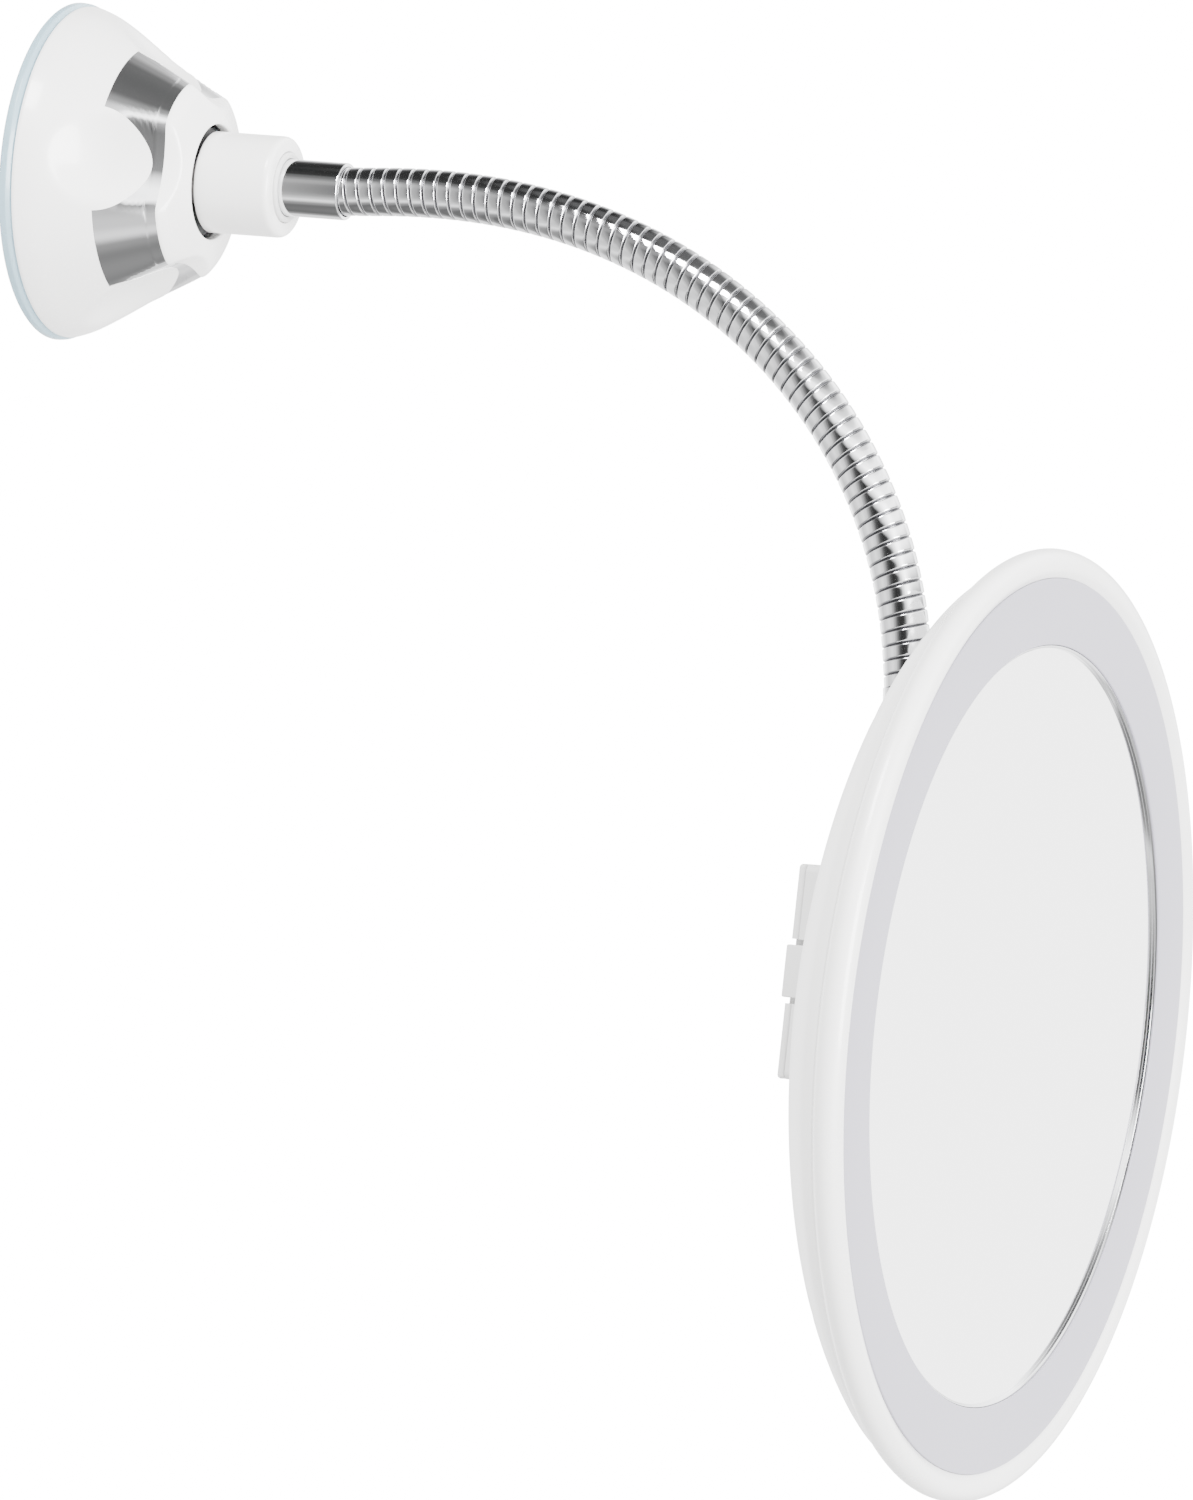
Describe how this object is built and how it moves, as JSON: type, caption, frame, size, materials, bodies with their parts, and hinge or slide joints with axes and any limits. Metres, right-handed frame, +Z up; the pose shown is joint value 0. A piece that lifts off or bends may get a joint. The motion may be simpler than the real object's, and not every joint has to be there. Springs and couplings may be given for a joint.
{
  "type": "wall mirror",
  "caption": "Round lighted shaving mirror on a bendable ribbed neck, held to the wall by a twist-lock suction base.",
  "frame": {"origin": "centre of the suction pad sealing lip, on the wall plane", "axes": "-Y out of the wall into the room, +Z up, X along the wall"},
  "size_m": [0.178, 0.2095, 0.2662],
  "materials": {
    "pad": "clear soft",
    "white": "gloss",
    "inner": "satin",
    "dark": "satin",
    "chrome": "polished",
    "steel": "plain",
    "diffuser": "satin translucent",
    "mirror": "polished",
    "foam": "matt",
    "board": "satin",
    "led": "matt",
    "wire": "matt",
    "cell": "gloss",
    "grey": "satin"
  },
  "bodies": {
    "base": {"suction_pad": "pad", "pressure_plate": "inner", "seat_cup": "inner", "seat_ring": "dark"},
    "plunger": {"pad_centre": "pad", "pull_stud": "steel", "lift_peg": "steel"},
    "lock_shell": {"twist_shell": "white", "plated_collar": "chrome", "nose_cap": "white", "cam_ring": "inner"},
    "base_bush": {"ball_bush": "dark"},
    "hub": {"hub_ball": "inner", "hub_sleeve": "white", "bush_ring": "grey", "base_ferrule": "chrome"},
    "link_01": {"neck_link_01": "chrome"},
    "link_02": {"neck_link_02": "chrome"},
    "link_03": {"neck_link_03": "chrome"},
    "link_04": {"neck_link_04": "chrome"},
    "link_05": {"neck_link_05": "chrome"},
    "link_06": {"neck_link_06": "chrome"},
    "link_07": {"neck_link_07": "chrome"},
    "link_08": {"neck_link_08": "chrome"},
    "link_09": {"neck_link_09": "chrome"},
    "link_10": {"neck_link_10": "chrome"},
    "link_11": {"neck_link_11": "chrome"},
    "link_12": {"neck_link_12": "chrome"},
    "link_13": {"neck_link_13": "chrome"},
    "neck_end": {"head_ferrule": "chrome", "head_ball": "steel"},
    "head_bush": {"head_bush": "dark"},
    "head": {"rear_shell": "white", "socket_cap": "white", "socket_screws": "steel", "front_bezel": "white", "diffuser_ring": "diffuser", "mirror_glass": "mirror", "glass_pad": "foam", "chassis_plate": "inner", "led_board": "board", "led_chips": "led", "lead_wires": "wire", "shell_screws": "steel", "battery_case": "grey", "battery_cells": "cell", "contact_plates": "steel", "contact_springs": "steel", "switch_block": "dark"},
    "door": {"battery_door": "grey"},
    "latch": {"door_latch": "grey"},
    "button": {"power_button": "grey"}
  },
  "joints": [
    {"name": "lock_twist", "type": "hinge", "parent": "base", "child": "lock_shell", "pos_m": [0, -0.015, 0], "axis": [0, -1, 0], "range_deg": [0, 70]},
    {"name": "stud_lift", "type": "slide", "parent": "base", "child": "plunger", "axis": [0, -1, 0], "range_m": [-0.00121, 0]},
    {"name": "base_swivel", "type": "hinge", "parent": "base", "child": "base_bush", "pos_m": [0, -0.022, 0], "axis": [0, -1, 0], "continuous": true},
    {"name": "base_tilt", "type": "hinge", "parent": "base_bush", "child": "hub", "pos_m": [0, -0.022, 0], "axis": [1, 0, 0], "range_deg": [-6, 6]},
    {"name": "neck_bend_1", "type": "hinge", "parent": "hub", "child": "link_01", "pos_m": [0, -0.058, 0], "axis": [1, 0, 0], "range_deg": [-11, 3.5]},
    {"name": "neck_sway_1", "type": "hinge", "parent": "link_01", "child": "link_02", "pos_m": [0, -0.07072, 0.00088], "axis": [0, 0.0289, 0.9996], "range_deg": [-11, 11]},
    {"name": "neck_bend_2", "type": "hinge", "parent": "link_02", "child": "link_03", "pos_m": [0, -0.08347, 0.00074], "axis": [1, 0, 0], "range_deg": [-11, 3.5]},
    {"name": "neck_sway_2", "type": "hinge", "parent": "link_03", "child": "link_04", "pos_m": [0, -0.09615, -0.00062], "axis": [0, -0.159, 0.9873], "range_deg": [-11, 11]},
    {"name": "neck_bend_3", "type": "hinge", "parent": "link_04", "child": "link_05", "pos_m": [0, -0.10861, -0.00331], "axis": [1, 0, 0], "range_deg": [-11, 3.5]},
    {"name": "neck_sway_3", "type": "hinge", "parent": "link_05", "child": "link_06", "pos_m": [0, -0.12069, -0.0074], "axis": [0, -0.3773, 0.9261], "range_deg": [-11, 11]},
    {"name": "neck_bend_4", "type": "hinge", "parent": "link_06", "child": "link_07", "pos_m": [0, -0.13218, -0.01292], "axis": [1, 0, 0], "range_deg": [-11, 3.5]},
    {"name": "neck_sway_4", "type": "hinge", "parent": "link_07", "child": "link_08", "pos_m": [0, -0.14289, -0.01983], "axis": [0, -0.5962, 0.8028], "range_deg": [-11, 11]},
    {"name": "neck_bend_5", "type": "hinge", "parent": "link_08", "child": "link_09", "pos_m": [0, -0.15261, -0.02809], "axis": [1, 0, 0], "range_deg": [-11, 3.5]},
    {"name": "neck_sway_5", "type": "hinge", "parent": "link_09", "child": "link_10", "pos_m": [0, -0.16112, -0.03758], "axis": [0, -0.7893, 0.614], "range_deg": [-11, 11]},
    {"name": "neck_bend_6", "type": "hinge", "parent": "link_10", "child": "link_11", "pos_m": [0, -0.16823, -0.04817], "axis": [1, 0, 0], "range_deg": [-11, 3.5]},
    {"name": "neck_sway_6", "type": "hinge", "parent": "link_11", "child": "link_12", "pos_m": [0, -0.17375, -0.05966], "axis": [0, -0.9307, 0.3659], "range_deg": [-11, 11]},
    {"name": "neck_bend_7", "type": "hinge", "parent": "link_12", "child": "link_13", "pos_m": [0, -0.17753, -0.07183], "axis": [1, 0, 0], "range_deg": [-11, 3.5]},
    {"name": "neck_sway_7", "type": "hinge", "parent": "link_13", "child": "neck_end", "pos_m": [0, -0.17945, -0.08444], "axis": [0, -0.9936, 0.1129], "range_deg": [-11, 11]},
    {"name": "head_swivel", "type": "hinge", "parent": "neck_end", "child": "head_bush", "pos_m": [0, -0.18044, -0.0976], "axis": [0, 0.075, 0.9972], "range_deg": [-60, 60]},
    {"name": "head_tilt", "type": "hinge", "parent": "head_bush", "child": "head", "pos_m": [0, -0.18044, -0.0976], "axis": [1, 0, 0], "range_deg": [-10, 18]},
    {"name": "door_swing", "type": "hinge", "parent": "head", "child": "door", "pos_m": [0.027, -0.17234, -0.13842], "axis": [0, 0.0244, -0.9997], "range_deg": [0, 75]},
    {"name": "latch_flex", "type": "hinge", "parent": "door", "child": "latch", "pos_m": [-0.0266, -0.17134, -0.13839], "axis": [0, -0.0244, 0.9997], "range_deg": [-5, 0], "stiffness_Nm_per_rad": 0.05},
    {"name": "button_press", "type": "slide", "parent": "head", "child": "button", "axis": [0, -0.9997, -0.0244], "range_m": [0, 0.001], "stiffness_N_per_m": 800}
  ],
  "couplings": [
    {"joint": "stud_lift", "follows": "lock_twist", "m_per_rad": -0.00098221},
    {"joint": "neck_bend_2", "follows": "neck_bend_1", "ratio": 1},
    {"joint": "neck_sway_2", "follows": "neck_sway_1", "ratio": 1},
    {"joint": "neck_bend_3", "follows": "neck_bend_1", "ratio": 1},
    {"joint": "neck_sway_3", "follows": "neck_sway_1", "ratio": 1},
    {"joint": "neck_bend_4", "follows": "neck_bend_1", "ratio": 1},
    {"joint": "neck_sway_4", "follows": "neck_sway_1", "ratio": 1},
    {"joint": "neck_bend_5", "follows": "neck_bend_1", "ratio": 1},
    {"joint": "neck_sway_5", "follows": "neck_sway_1", "ratio": 1},
    {"joint": "neck_bend_6", "follows": "neck_bend_1", "ratio": 1},
    {"joint": "neck_sway_6", "follows": "neck_sway_1", "ratio": 1},
    {"joint": "neck_bend_7", "follows": "neck_bend_1", "ratio": 1},
    {"joint": "neck_sway_7", "follows": "neck_sway_1", "ratio": 1}
  ]
}
